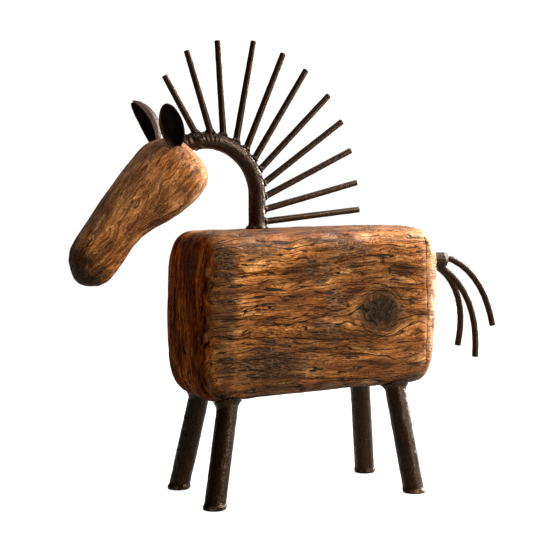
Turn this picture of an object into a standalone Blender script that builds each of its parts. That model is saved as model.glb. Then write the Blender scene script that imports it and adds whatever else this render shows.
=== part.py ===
"""A standing abstract horse: a timber block body and a carved head on forged iron bars and rods.

Metres, +Z up. The horse faces -X and the floor is Z = 0. The origin is under the middle of its length.
"""
import math

import bmesh
import bpy
from mathutils import Vector
from mathutils.bvhtree import BVHTree

for thing in list(bpy.data.objects):
    bpy.data.objects.remove(thing, do_unlink=True)

# Round stock: leg bar, neck bar, the stub of bar under the tail, and one thin rod for mane and tail.
LEG_BAR = 0.0120
NECK_BAR = 0.0097
STUB_BAR = 0.0104
THIN_ROD = 0.0040

# Clearance between pieces that meet, the wider one under a flare or a weld, and how deep each bar is
# let into the timber.
GAP = 0.0003
SEAT = 0.00045
LEG_SOCKET = 0.020
NECK_SOCKET = 0.018
HEAD_SOCKET = 0.015
STUB_SOCKET = 0.014

# Timber body block: its front end, length and width, and the height of back and belly at both ends.
CHEST_X = -0.0675
BODY_LENGTH = 0.1467
BODY_WIDTH = 0.0680
BACK_FRONT = 0.1501
BACK_REAR = 0.1533
BELLY_FRONT = 0.0573
BELLY_REAR = 0.0628

# How far the block's edges are worn round, at each end and along its length.
CHEST_TURN = 0.0105
CHEST_SIDE = 0.0080
CHEST_DROP = 0.0150
CHEST_RISE = 0.0170
RUMP_TURN = 0.0125
RUMP_SIDE = 0.0105
RUMP_DROP = 0.0165
RUMP_RISE = 0.0125
LONG_EDGE_TURN = 0.0125
LONG_EDGE_EASE = 0.55
END_RINGS = (0.45, 0.80)

# Shallow shaping of the block's faces.
SIDE_BULGE = 0.0010
END_BULGE = 0.0012
BACK_CROWN = 0.0012
BACK_FALL = 0.0022
BELLY_ARCH = 0.0006
CHEST_BOW = 0.0015
RUMP_SLANT = 0.0040

# Feet: how far the soles stand in from the block's ends and out from its sides, less their splay, and
# how far each pair of legs leans and splays for each metre of height.
FRONT_FEET_IN = 0.0061
REAR_FEET_IN = 0.0184
FRONT_FEET_SIDE = 0.0041
REAR_FEET_SIDE = 0.0017
FRONT_LEAN = 0.190
REAR_LEAN = -0.134
FRONT_SPLAY = 0.128
REAR_SPLAY = 0.151
FOOT_SPREAD = 0.0006
FOOT_HEIGHT = 0.0032
FOOT_STEPS = ((0.0, 0.4), (0.2, 1.0), (0.6, 1.0), (1.0, 0.0))
COLLAR_FLARE = 0.0026
COLLAR_HEIGHT = 0.0034
COLLAR_STEP = (0.35, 0.45)

# Neck: a bar that stands on the back, then bends over to the head.
NECK_FROM_CHEST = 0.0436
NECK_UPRIGHT = 0.0190
BEND_RADIUS = 0.0310
BEND_ANGLE = math.radians(100.0)
NECK_WELD = 0.0014
NECK_WELD_HEIGHT = 0.0026
NECK_WELD_STEP = (0.4, 0.3)
SOCKET_MOUTH = 0.010

# Mane rods, from the one nearest the back: place as a share of the neck's run from back to head,
# angle above the level, and reach as a share of the longest.
MANE_REACH = 0.0609
MANE_RODS = (
    (0.058, 6.0, 0.984),
    (0.153, 14.6, 0.985),
    (0.252, 26.1, 0.990),
    (0.343, 36.0, 0.997),
    (0.438, 44.9, 1.000),
    (0.520, 57.8, 0.993),
    (0.609, 67.2, 0.970),
    (0.699, 79.1, 0.941),
    (0.799, 93.6, 0.864),
    (0.892, 107.2, 0.772),
    (1.000, 119.7, 0.589),
)
MANE_ROOT_IN = 0.3
MANE_TAPER = 0.90
MANE_TIP_EDGE = 0.0003

# Carved head, on an axis that runs down and forward from the poll. The poll's place from the neck's
# end, and each station's place along the axis, brow, throat and half width, are shares of its length.
HEAD_LENGTH = 0.0955
HEAD_PITCH = math.radians(45.0)
POLL_FROM_NECK = Vector((-0.0126, 0.0, -0.0974))
HEAD_STATIONS = (
    (0.000, 0.131, -0.048, 0.084),
    (0.014, 0.170, -0.092, 0.131),
    (0.042, 0.206, -0.128, 0.171),
    (0.084, 0.233, -0.151, 0.199),
    (0.141, 0.251, -0.161, 0.218),
    (0.215, 0.255, -0.160, 0.224),
    (0.298, 0.251, -0.150, 0.222),
    (0.393, 0.239, -0.127, 0.214),
    (0.476, 0.227, -0.098, 0.203),
    (0.560, 0.215, -0.079, 0.191),
    (0.644, 0.201, -0.079, 0.180),
    (0.728, 0.188, -0.095, 0.172),
    (0.812, 0.175, -0.111, 0.165),
    (0.885, 0.156, -0.115, 0.155),
    (0.942, 0.115, -0.096, 0.130),
    (0.979, 0.062, -0.057, 0.090),
    (1.000, 0.023, -0.020, 0.046),
)
HEAD_SQUARENESS = 2.9

# Ears: cupped leaves of plate in slots. For each: its width as a share of the usual one, how far its
# foot reaches below its base, the base as shares of the head's length from the poll, which way it
# points, and which way its hollow faces.
# A slot's inner face stands off by the gap times EAR_SLOPE, because the leaf slopes towards its ends.
EAR_LENGTH = 0.0262
EAR_WIDTH = 0.0131
EAR_PLATE = 0.0011
EAR_CUP = 0.0070
EAR_WRAP = math.radians(88.0)
EAR_SWEEP = 0.0012
EAR_HEEL = 0.26
EAR_FULLNESS = 0.56
EAR_ENDS = 0.488
EAR_SLOPE = 1.8
EARS = (
    ("ear_near", 0.84, 0.0006, (-0.179, -0.206, 0.057), (-0.365, -0.380, 0.850), (-0.387, -0.920, 0.0)),
    ("ear_far", 1.17, 0.0030, (-0.195, 0.190, 0.096), (-0.378, 0.330, 0.853), (-0.999, 0.035, 0.0)),
)

# Tail: a stub of bar with a domed end. For each rod: where it starts from the stub's end as shares of
# the stub's size, how it dips at root and tip, its length as a share of the longest, and its spread.
TAIL_Z = 0.1315
STUB_PROUD = 0.0166
STUB_DOME = 0.0028
DOME_STEPS = ((0.45, 0.90), (0.80, 0.65), (1.0, 0.30))
TAIL_LENGTH = 0.0600
TAIL_RODS = (
    ("tail_rod_top", (0.163, 0.0, 0.231), -14.0, -77.0, 0.963, 0.0),
    ("tail_rod_near", (-0.096, -0.260, -0.423), -33.0, -99.0, 1.000, -10.0),
    ("tail_rod_far", (-0.019, 0.260, -0.423), -32.0, -98.0, 0.908, 6.0),
)
TAIL_ROOT_IN = 0.75
TAIL_EASING = 1.45
TAIL_PIECES = 9

# Facets round each kind of piece.
BAR_SIDES = 20
ROD_SIDES = 16
SOCKET_SIDES = 24
HEAD_SIDES = 32
SHARP_ANGLE = math.radians(40.0)


def finish(name, colour, metallic, roughness):
    """A plain surface for one piece."""
    material = bpy.data.materials.new(name)
    material.use_nodes = True
    shader = material.node_tree.nodes["Principled BSDF"]
    shader.inputs["Base Color"].default_value = (*colour, 1.0)
    shader.inputs["Metallic"].default_value = metallic
    shader.inputs["Roughness"].default_value = roughness
    return material


def timber(piece, colour):
    """Oiled, weathered timber."""
    piece.data.materials.append(finish(piece.name + "_timber", colour, 0.0, 0.72))


def iron(piece, colour):
    """Dark waxed forged iron."""
    piece.data.materials.append(finish(piece.name + "_iron", colour, 0.85, 0.48))


def keep(name, work):
    """Turn a finished bmesh into an object, shaded smooth but for its sharp edges."""
    bmesh.ops.recalc_face_normals(work, faces=work.faces)
    if work.calc_volume(signed=True) < 0:
        bmesh.ops.reverse_faces(work, faces=work.faces)
    mesh = bpy.data.meshes.new(name)
    work.to_mesh(mesh)
    work.free()
    mesh.shade_smooth()
    mesh.set_sharp_from_angle(angle=SHARP_ANGLE)
    piece = bpy.data.objects.new(name, mesh)
    bpy.context.scene.collection.objects.link(piece)
    return piece


def loft(name, rings):
    """Bridge a row of rings into one skin and cap its two ends."""
    work = bmesh.new()
    loops = []
    for ring in rings:
        points = [work.verts.new(point) for point in ring]
        loops.append([work.edges.new((a, b)) for a, b in zip(points, points[1:] + points[:1])])
    for low, high in zip(loops, loops[1:]):
        bmesh.ops.bridge_loops(work, edges=low + high)
    for loop in (loops[0], loops[-1]):
        bmesh.ops.contextual_create(work, geom=loop)
    return keep(name, work)


def bar(name, points, radii, sides):
    """A round bar swept through points with a radius at each: a bevelled curve with filled ends."""
    curve = bpy.data.curves.new(name, "CURVE")
    curve.dimensions = "3D"
    curve.bevel_depth = 1.0
    curve.bevel_resolution = sides // 2 - 2
    curve.use_fill_caps = True
    spline = curve.splines.new("POLY")
    spline.points.add(len(points) - 1)
    for spot, point, radius in zip(spline.points, points, radii):
        spot.co = (*point, 1.0)
        spot.radius = radius
    guide = bpy.data.objects.new(name, curve)
    bpy.context.scene.collection.objects.link(guide)
    drawn = guide.evaluated_get(bpy.context.evaluated_depsgraph_get()).to_mesh()
    work = bmesh.new()
    work.from_mesh(drawn)
    bpy.data.objects.remove(guide, do_unlink=True)
    bmesh.ops.remove_doubles(work, verts=work.verts, dist=1e-7)
    return keep(name, work)


def as_cutter(piece):
    """Keep a piece only as a cutting tool."""
    piece.hide_render = True
    piece.display_type = "WIRE"
    return piece


def cut(piece, cutter):
    """Take a cutter out of a piece."""
    step = piece.modifiers.new(cutter.name, "BOOLEAN")
    step.operation = "DIFFERENCE"
    step.solver = "EXACT"
    step.object = cutter


def drill(piece, name, bottom, mouth, bar_size):
    """A blind round socket for a bar, with clearance round it and at its bottom."""
    inward = (bottom - mouth).normalized()
    radius = bar_size / 2 + GAP
    cut(piece, as_cutter(bar(name, [bottom + inward * GAP, mouth], [radius, radius], SOCKET_SIDES)))


def square_to(direction):
    """Two unit vectors square to a direction, the second as near level across the horse as it can be."""
    forward = direction.normalized()
    side = Vector((0.0, 1.0, 0.0))
    side = (side - forward * side.dot(forward)).normalized()
    return side.cross(forward), side


def ray_target(piece):
    """The piece's surface as it is now, for measuring along lines."""
    return BVHTree.FromObject(piece, bpy.context.evaluated_depsgraph_get())


RUMP_X = CHEST_X + BODY_LENGTH
NECK_X = CHEST_X + NECK_FROM_CHEST


# Body block.
def along_body(x):
    """Share of the way from chest to rump."""
    return (x - CHEST_X) / BODY_LENGTH


def near_chest(x):
    """How near the chest a place is: 1 at the chest, falling to 0 a third of the way along."""
    return max(0.0, 1 - along_body(x) * 3) ** 2


def near_rump(x):
    """How near the rump a place is: 1 at the rump, falling to 0 a third of the way along."""
    return max(0.0, along_body(x) * 3 - 2) ** 2


def back_height(x):
    """Height of the back's edge line."""
    return BACK_FRONT + (BACK_REAR - BACK_FRONT) * along_body(x) - BACK_FALL * near_rump(x)


def belly_height(x):
    """Height of the belly's edge line."""
    share = along_body(x)
    return BELLY_FRONT + (BELLY_REAR - BELLY_FRONT) * share + BELLY_ARCH * max(0.0, 4 * share * (1 - share))


def rounded_box(half_y, half_z, turn):
    """Points round a rectangle with round corners, with a few along each straight side."""
    points = []
    for corner in range(4):
        quarter = math.pi / 2 * corner
        sy = 1 if corner in (0, 1) else -1
        sz = 1 if corner in (1, 2) else -1
        for k in range(5):
            bend = quarter - math.pi / 2 + math.pi / 8 * k
            y = sy * (half_y - turn) + turn * math.cos(bend)
            z = sz * (half_z - turn) + turn * math.sin(bend)
            points.append((y, z))
        run = 2 * ((half_z if corner in (0, 2) else half_y) - turn)
        for k in (1, 2, 3):
            points.append((y - math.sin(quarter) * run * k / 4, z + math.cos(quarter) * run * k / 4))
    return points


def body_section(x, side_in, back_in, belly_in, shrink):
    """One section of the block, drawn in at the sides, the back and the belly."""
    high = back_height(x)
    low = belly_height(x)
    middle = (high - back_in + low + belly_in) / 2
    half_y = (BODY_WIDTH / 2 - side_in) * shrink
    half_z = (high - back_in - low - belly_in) / 2 * shrink
    ring = []
    for y, z in rounded_box(half_y, half_z, (LONG_EDGE_TURN - side_in * LONG_EDGE_EASE) * shrink):
        out = SIDE_BULGE * max(0.0, 1 - (z / half_z) ** 2) * shrink * y / half_y
        up = BACK_CROWN * max(0.0, 1 - (y / half_y) ** 2) * shrink * max(0.0, z / half_z)
        rise = (middle + z - (high + low) / 2) / ((high - low) / 2)
        slide = CHEST_BOW * (rise * rise - 1) * near_chest(x) + RUMP_SLANT * (rise - 1) / 2 * near_rump(x)
        ring.append(Vector((x + slide, y + out, middle + z + up)))
    return ring


def end_sections(x, inward, turn, side, drop, rise):
    """Sections of one end, from its middle outwards and round its worn edge."""
    sections = []
    for shrink in END_RINGS:
        sections.append(body_section(x - inward * END_BULGE * (1 - shrink ** 2), side, drop, rise, shrink))
    for k in range(6):
        bend = math.pi / 10 * k
        left = 1 - math.sin(bend)
        place = x + inward * turn * (1 - math.cos(bend))
        sections.append(body_section(place, side * left, drop * left, rise * left, 1.0))
    return sections


def make_body():
    """The timber block, before its sockets are drilled."""
    sections = end_sections(CHEST_X, 1, CHEST_TURN, CHEST_SIDE, CHEST_DROP, CHEST_RISE)
    start = CHEST_X + CHEST_TURN
    span = RUMP_X - RUMP_TURN - start
    for k in range(1, 6):
        sections.append(body_section(start + span * k / 6, 0.0, 0.0, 0.0, 1.0))
    sections += reversed(end_sections(RUMP_X, -1, RUMP_TURN, RUMP_SIDE, RUMP_DROP, RUMP_RISE))
    piece = loft("body", sections)
    timber(piece, (0.30, 0.135, 0.055))
    return piece


body = make_body()
body_surface = ray_target(body)


# Legs.
def run_to_belly(start, direction, otherwise):
    """Run along a line up to the underside of the block."""
    place, normal, index, run = body_surface.ray_cast(start, direction)
    return run if place else otherwise


def make_leg(name, foot, direction):
    """One leg: a spread foot cut level with the floor, the bar, a flare under the belly and a tenon."""
    forward = direction.normalized()
    across, side = square_to(forward)
    radius = LEG_BAR / 2
    reach = run_to_belly(foot, forward, BELLY_FRONT)
    spokes = []
    for k in range(BAR_SIDES):
        turn = 2 * math.pi * k / BAR_SIDES
        spokes.append(across * math.cos(turn) + side * math.sin(turn))

    def ring(run, size):
        return [foot + spoke * size + forward * run for spoke in spokes]

    rings = []
    for height, spread in FOOT_STEPS:
        level = ring(0.0, radius + FOOT_SPREAD * spread)
        rings.append([point + forward * (FOOT_HEIGHT * height - point.z / forward.z) for point in level])
    rings.append(ring(reach / 2, radius))
    flare = []
    for spoke in spokes:
        rim = foot + spoke * (radius + COLLAR_FLARE)
        neck_line = foot + spoke * radius
        top = run_to_belly(rim, forward, reach) - SEAT
        inner = run_to_belly(neck_line, forward, reach) - SEAT
        step = neck_line + spoke * (COLLAR_FLARE * COLLAR_STEP[1])
        flare.append((neck_line + forward * (top - COLLAR_HEIGHT),
                      step + forward * (top - COLLAR_HEIGHT * COLLAR_STEP[0]),
                      rim + forward * top,
                      neck_line + forward * inner))
    rings += zip(*flare)
    tenon = reach + LEG_SOCKET
    rings.append(ring(tenon, radius))
    piece = loft(name, rings)
    iron(piece, (0.030, 0.022, 0.017))
    drill(body, name + "_socket", foot + forward * tenon, foot + forward * (reach - SOCKET_MOUTH), LEG_BAR)


for end, foot_x, side, lean, splay in (
    ("front", CHEST_X + FRONT_FEET_IN, FRONT_FEET_SIDE, FRONT_LEAN, FRONT_SPLAY),
    ("rear", RUMP_X - REAR_FEET_IN, REAR_FEET_SIDE, REAR_LEAN, REAR_SPLAY),
):
    for where, hand in (("near", -1), ("far", 1)):
        foot = Vector((foot_x, hand * (BODY_WIDTH / 2 - side), 0.0))
        make_leg("leg_%s_%s" % (end, where), foot, Vector((lean, -hand * splay, 1.0)))


# Neck.
neck_foot = Vector((NECK_X, 0.0, back_height(NECK_X) + BACK_CROWN))


def neck_place(run):
    """Centre and heading of the neck bar, by the run up its centre line from the back."""
    bend = (run - NECK_UPRIGHT) / BEND_RADIUS
    if bend <= 0:
        return neck_foot + Vector((0.0, 0.0, run)), Vector((0.0, 0.0, 1.0))
    turn = min(bend, BEND_ANGLE)
    heading = Vector((-math.sin(turn), 0.0, math.cos(turn)))
    centre = neck_foot + Vector((-BEND_RADIUS, 0.0, NECK_UPRIGHT))
    place = centre + Vector((math.cos(turn), 0.0, math.sin(turn))) * BEND_RADIUS
    return place + heading * (BEND_RADIUS * (bend - turn)), heading


bend_end = NECK_UPRIGHT + BEND_RADIUS * BEND_ANGLE


def make_neck():
    """The neck bar, with a weld fillet at its foot and both ends let into the timber."""
    radius = NECK_BAR / 2
    stops = [
        (-NECK_SOCKET, radius),
        (SEAT - GAP / 3, radius),
        (SEAT, radius + NECK_WELD),
        (SEAT + NECK_WELD_HEIGHT * NECK_WELD_STEP[0], radius + NECK_WELD * NECK_WELD_STEP[1]),
        (SEAT + NECK_WELD_HEIGHT, radius),
    ]
    for k in range(15):
        stops.append((NECK_UPRIGHT + (bend_end - NECK_UPRIGHT) * k / 14, radius))
    stops.append((bend_end + HEAD_SOCKET, radius))
    piece = bar("neck", [neck_place(run)[0] for run, size in stops], [size for run, size in stops], BAR_SIDES)
    iron(piece, (0.030, 0.022, 0.017))
    drill(body, "neck_socket", neck_place(-NECK_SOCKET)[0], neck_place(SOCKET_MOUTH)[0], NECK_BAR)


make_neck()


# Mane.
def make_mane():
    """Thin rods from the neck, each a tapered cone coped to the neck it is welded to."""
    runs = [NECK_UPRIGHT * k / 3 for k in range(3)]
    runs += [NECK_UPRIGHT + (bend_end - NECK_UPRIGHT) * k / 30 for k in range(31)]
    runs.append(bend_end + HEAD_SOCKET)
    clear = NECK_BAR / 2 + GAP
    line = [neck_place(run)[0] for run in runs]
    saddle = as_cutter(bar("mane_saddle", line, [clear] * len(line), SOCKET_SIDES))
    for k, (share, angle, reach) in enumerate(MANE_RODS):
        centre, heading = neck_place(bend_end * share)
        outward = Vector((heading.z, 0.0, -heading.x))
        root = centre + outward * (NECK_BAR / 2)
        direction = Vector((math.cos(math.radians(angle)), 0.0, math.sin(math.radians(angle))))
        start = root - direction * (NECK_BAR * MANE_ROOT_IN)
        tip = root + direction * (MANE_REACH * reach)
        work = bmesh.new()
        bmesh.ops.create_cone(work, cap_ends=True, segments=ROD_SIDES, depth=(tip - start).length,
                              radius1=THIN_ROD / 2, radius2=THIN_ROD / 2 * MANE_TAPER)
        rim = [edge for edge in work.edges if all(vert.co.z > 0 for vert in edge.verts)]
        bmesh.ops.bevel(work, geom=rim, offset=MANE_TIP_EDGE, segments=1, affect="EDGES")
        rod = keep("mane_rod_%02d" % (len(MANE_RODS) - k), work)
        rod.location = (start + tip) / 2
        rod.rotation_euler = (0.0, math.radians(90 - angle), 0.0)
        iron(rod, (0.034, 0.025, 0.019))
        cut(rod, saddle)


make_mane()

# Head.
head_forward = Vector((-math.cos(HEAD_PITCH), 0.0, -math.sin(HEAD_PITCH)))
head_brow = Vector((-math.sin(HEAD_PITCH), 0.0, math.cos(HEAD_PITCH)))
poll = neck_place(bend_end)[0] + POLL_FROM_NECK * HEAD_LENGTH


def make_head():
    """The carved head, lofted through rounded square sections."""
    rings = []
    for share, brow, throat, half in HEAD_STATIONS:
        centre = poll + (head_forward * share + head_brow * ((brow + throat) / 2)) * HEAD_LENGTH
        tall = (brow - throat) / 2 * HEAD_LENGTH
        ring = []
        for k in range(HEAD_SIDES):
            turn = 2 * math.pi * (k + 0.5) / HEAD_SIDES
            c, s = math.cos(turn), math.sin(turn)
            across = half * HEAD_LENGTH * math.copysign(abs(c) ** (2 / HEAD_SQUARENESS), c)
            up = tall * math.copysign(abs(s) ** (2 / HEAD_SQUARENESS), s)
            ring.append(centre + head_brow * up + Vector((0.0, across, 0.0)))
        rings.append(ring)
    piece = loft("head", rings)
    timber(piece, (0.27, 0.115, 0.045))
    bottom = neck_place(bend_end + HEAD_SOCKET)[0]
    drill(piece, "head_socket", bottom, neck_place(bend_end - NECK_BAR)[0], NECK_BAR)
    return piece


head = make_head()


# Ears.
def make_leaf(name, width, foot, base, axis, opening, grow):
    """A deeply cupped leaf of plate. Grow widens it on every side, for the slot it stands in."""
    axis = axis.normalized()
    opening = (opening - axis * opening.dot(axis)).normalized()
    across = axis.cross(opening)
    work = bmesh.new()
    bmesh.ops.create_grid(work, x_segments=8, y_segments=11, size=1.0)
    back = bmesh.ops.extrude_face_region(work, geom=work.faces[:])
    moved = [part for part in back["geom"] if isinstance(part, bmesh.types.BMVert)]
    bmesh.ops.translate(work, verts=moved, vec=(0.0, 0.0, 1.0))
    for vert in work.verts:
        share = 0.5 + EAR_ENDS * vert.co.y
        belly = (4 * share * (1 - share)) ** EAR_FULLNESS
        half = width / 2 * belly * (1 + EAR_HEEL * (0.5 - share))
        out = EAR_PLATE + grow if vert.co.z > 0.5 else -grow * EAR_SLOPE
        turn = vert.co.x * (EAR_WRAP + grow / (half + EAR_PLATE))
        run = share * (EAR_LENGTH + foot) - foot + grow * vert.co.y
        aside = (half + out) * math.sin(turn)
        sink = (EAR_CUP * belly + out) * math.cos(turn) + EAR_SWEEP * math.sin(math.pi * share)
        vert.co = base + axis * run + across * aside - opening * sink
    return keep(name, work)


for name, share, foot, place, axis, opening in EARS:
    stance = (EAR_WIDTH * share, foot, poll + Vector(place) * HEAD_LENGTH, Vector(axis), Vector(opening))
    iron(make_leaf(name, *stance, 0.0), (0.026, 0.018, 0.014))
    cut(head, as_cutter(make_leaf(name + "_slot", *stance, GAP)))


# Tail.
stub_end = Vector((RUMP_X + STUB_PROUD, 0.0, TAIL_Z))


def make_stub(name, grow):
    """The stub of bar with its domed end. Grow gives the clearance that the rods stop at."""
    radius = STUB_BAR / 2 + grow
    stops = [(-STUB_PROUD - STUB_SOCKET, 1.0), (-STUB_PROUD, 1.0), (0.0, 1.0)]
    stops += [(STUB_DOME * rise, size) for rise, size in DOME_STEPS]
    points = [stub_end + Vector((run + (grow if run > 0 else 0.0), 0.0, 0.0)) for run, size in stops]
    return bar(name, points, [radius * size for run, size in stops], BAR_SIDES)


def make_tail_rod(name, start, root_dip, tip_dip, share_of_length, spread, saddle):
    """A bent rod, welded to the stub at its root and cut square at its tip."""
    out = math.radians(spread)
    path = [stub_end + Vector(start) * STUB_BAR]
    piece_length = TAIL_LENGTH * share_of_length / TAIL_PIECES
    for k in range(TAIL_PIECES):
        share = 1 - (1 - (k + 0.5) / TAIL_PIECES) ** TAIL_EASING
        dip = math.radians(root_dip + (tip_dip - root_dip) * share)
        heading = Vector((math.cos(dip) * math.cos(out), math.sin(out), math.sin(dip) * math.cos(out)))
        path.append(path[-1] + heading * piece_length)
    path[0] += (path[0] - path[1]).normalized() * (THIN_ROD * TAIL_ROOT_IN)
    rod = bar(name, path, [THIN_ROD / 2] * len(path), ROD_SIDES)
    iron(rod, (0.030, 0.022, 0.017))
    cut(rod, saddle)


iron(make_stub("tail_stub", 0.0), (0.030, 0.022, 0.017))
drill(body, "tail_socket", stub_end - Vector((STUB_PROUD + STUB_SOCKET, 0, 0)), stub_end, STUB_BAR)
tail_saddle = as_cutter(make_stub("tail_saddle", GAP))
for rod in TAIL_RODS:
    make_tail_rod(*rod, tail_saddle)
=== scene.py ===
"""Looks for the abstract horse: carved weathered timber, forged iron bars with welds, a pale studio."""

import math

import bmesh
import bpy
import numpy as np
from mathutils import Matrix, Vector


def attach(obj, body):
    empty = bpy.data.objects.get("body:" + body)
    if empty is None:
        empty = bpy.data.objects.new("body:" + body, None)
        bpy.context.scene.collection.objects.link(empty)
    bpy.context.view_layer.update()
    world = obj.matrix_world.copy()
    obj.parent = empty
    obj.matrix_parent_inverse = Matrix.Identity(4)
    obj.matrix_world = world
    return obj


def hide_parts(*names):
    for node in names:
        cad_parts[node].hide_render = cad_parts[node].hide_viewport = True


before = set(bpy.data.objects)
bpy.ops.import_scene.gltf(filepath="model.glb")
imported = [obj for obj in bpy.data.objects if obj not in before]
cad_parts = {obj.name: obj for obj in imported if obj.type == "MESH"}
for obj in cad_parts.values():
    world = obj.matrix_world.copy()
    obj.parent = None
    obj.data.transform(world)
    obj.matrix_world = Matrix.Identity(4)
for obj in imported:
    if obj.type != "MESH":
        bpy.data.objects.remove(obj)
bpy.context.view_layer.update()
MM = 0.001
FULL_TURN = 2 * math.pi
NO_TURN = Matrix.Identity(3)
ALONG_X = np.array([1.0, 0.0, 0.0])
ALONG_Y = np.array([0.0, 1.0, 0.0])
ALONG_Z = np.array([0.0, 0.0, 1.0])


# Smooth noise on arrays of points, in about -1 to 1. Sizes are in millimetres. Every use has a seed of
# its own, the last number of its call.
AXIS_KEYS = (73856093, 19349663, 83492791)
SEED_KEY = 265443576
SCRAMBLE_KEYS = (1274126177, 668265263)
LOW_32_BITS = 0xFFFFFFFF
LOW_16_BITS = 0xFFFF
CORNERS = [(i, j, k) for i in (0, 1) for j in (0, 1) for k in (0, 1)]
OCTAVES = 2


def corner_values(i, j, k, seed):
    """One fixed pseudo-random value for each corner of a lattice."""
    mixed = (i * AXIS_KEYS[0]) ^ (j * AXIS_KEYS[1]) ^ (k * AXIS_KEYS[2]) ^ (seed * SEED_KEY)
    mixed = ((mixed ^ (mixed >> 13)) * SCRAMBLE_KEYS[0]) & LOW_32_BITS
    mixed = ((mixed ^ (mixed >> 15)) * SCRAMBLE_KEYS[1]) & LOW_32_BITS
    return ((mixed ^ (mixed >> 16)) & LOW_16_BITS) / (LOW_16_BITS / 2) - 1.0


def noise(points, size, seed):
    """Smooth value noise. Size is that of its lumps, one number or one for each axis."""
    points = points / np.array(size, float)
    base = np.floor(points)
    part = points - base
    part = part * part * part * (part * (part * 6 - 15) + 10)
    shares = (1 - part, part)
    i, j, k = base.astype(np.int64).T
    total = np.zeros(len(points))
    for di, dj, dk in CORNERS:
        weight = shares[di][:, 0] * shares[dj][:, 1] * shares[dk][:, 2]
        total += weight * corner_values(i + di, j + dj, k + dk, seed)
    return total


def rough(points, size, seed):
    """Noise with finer noise on it."""
    total = np.zeros(len(points))
    for octave in range(OCTAVES):
        finer = 2.0 ** octave
        total += noise(points, np.array(size, float) / finer, seed + octave) / finer
    return total


def step(value, low, high):
    """0 below low, 1 above high, and smooth between. High may be the smaller of the two."""
    share = np.clip((value - low) / (high - low), 0.0, 1.0)
    return share * share * (3 - 2 * share)


def hump(value, width):
    """1 where the value is nought, falling smoothly to 0 on both sides."""
    return np.exp(-(value / width) ** 2)


def columns(*values):
    """Arrays and single numbers side by side, as points."""
    return np.stack(np.broadcast_arrays(*values), 1)


# Pieces: an even fine copy of a CAD node's surface, with weld metal merged in, then carved.
# For each kind of piece, the mesh's pitch in millimetres and the rounds of smoothing.
FINENESS = {
    "body": (0.86, 30),
    "head": (0.55, 26),
    "neck": (0.36, 8),
    "rod": (0.31, 5),
    "ear": (0.26, 8),
    "stub": (0.34, 7),
    "leg": (0.48, 10),
}
SMOOTHING = 0.5
BEAD_SUBDIVISIONS = 3


def even_copy(name, node, kind, welds=()):
    """A fine, even copy of a node's surface. Each weld is a centre, three half sizes and a turn."""
    work = bmesh.new()
    work.from_mesh(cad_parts[node].data)
    for centre, sizes, turn in welds:
        size = Matrix.Diagonal((*[half * MM for half in sizes], 1.0))
        place = Matrix.Translation(Vector(centre) * MM) @ turn.to_4x4() @ size
        bmesh.ops.create_icosphere(work, subdivisions=BEAD_SUBDIVISIONS, radius=1.0, matrix=place)
    mesh = bpy.data.meshes.new(name)
    work.to_mesh(mesh)
    volume = work.calc_volume()
    work.free()
    piece = bpy.data.objects.new(name, mesh)
    bpy.context.scene.collection.objects.link(piece)
    pitch, rounds = FINENESS[kind]
    even = piece.modifiers.new("even", "REMESH")
    even.mode = "VOXEL"
    even.voxel_size = pitch * MM
    soft = piece.modifiers.new("soft", "SMOOTH")
    soft.factor = SMOOTHING
    soft.iterations = rounds
    depsgraph = bpy.context.evaluated_depsgraph_get()
    fine = bpy.data.meshes.new_from_object(piece.evaluated_get(depsgraph))
    piece.modifiers.clear()
    piece.data = fine
    if not welds:
        measure = bmesh.new()
        measure.from_mesh(fine)
        shrink = (volume - measure.calc_volume()) / sum(face.calc_area() for face in measure.faces)
        measure.free()
        points, normals = surface(piece)
        place_points(piece, points + normals * (shrink / MM))
    return piece


def surface(piece):
    """The mesh's points and normals as arrays, in millimetres."""
    count = len(piece.data.vertices)
    points = np.empty(count * 3)
    piece.data.vertices.foreach_get("co", points)
    normals = np.empty(count * 3)
    piece.data.vertex_normals.foreach_get("vector", normals)
    return points.reshape(-1, 3) / MM, normals.reshape(-1, 3)


def place_points(piece, points):
    """Move the mesh's points, given in millimetres."""
    piece.data.vertices.foreach_set("co", (points * MM).ravel())
    piece.data.update()


def carve(piece, points, normals, relief):
    """Raise or sink every point along its normal, in millimetres."""
    place_points(piece, points + normals * relief[:, None])


def store(piece, **layers):
    """Keep numbers or vectors for every point, for the material to read."""
    for name, values in layers.items():
        kind, field = ("FLOAT", "value") if values.ndim == 1 else ("FLOAT_VECTOR", "vector")
        layer = piece.data.attributes.new(name, kind, "POINT")
        layer.data.foreach_set(field, np.ascontiguousarray(values, np.float32).ravel())


def dress(piece, material, node):
    """Give a piece its material and let it stand for its CAD node."""
    piece.data.materials.clear()
    piece.data.materials.append(material)
    piece.data.shade_smooth()
    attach(piece, "root")
    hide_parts(node)


# Material building.
def add(tree, kind, settings, inputs):
    """A node with its settings, and its inputs as values or as sockets to link."""
    made = tree.nodes.new(kind)
    for key, value in settings.items():
        setattr(made, key, value)
    for key, value in inputs.items():
        if isinstance(value, bpy.types.NodeSocket):
            tree.links.new(value, made.inputs[key])
        else:
            made.inputs[key].default_value = value
    return made


def maths(tree, operation, first, second=0.0, clamp=False):
    """One sum."""
    settings = {"operation": operation, "use_clamp": clamp}
    return add(tree, "ShaderNodeMath", settings, {0: first, 1: second}).outputs[0]


def plus(tree, first, second, clamp=False):
    """Two values added."""
    return maths(tree, "ADD", first, second, clamp)


def times(tree, first, second, clamp=False):
    """Two values multiplied."""
    return maths(tree, "MULTIPLY", first, second, clamp)


def stretch(tree, vector, along, across, through=None):
    """A vector scaled along each axis. The third axis takes the second's number unless it has one."""
    scales = (along, across, across if through is None else through)
    return add(tree, "ShaderNodeVectorMath", {"operation": "MULTIPLY"}, {0: vector, 1: scales}).outputs[0]


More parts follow.
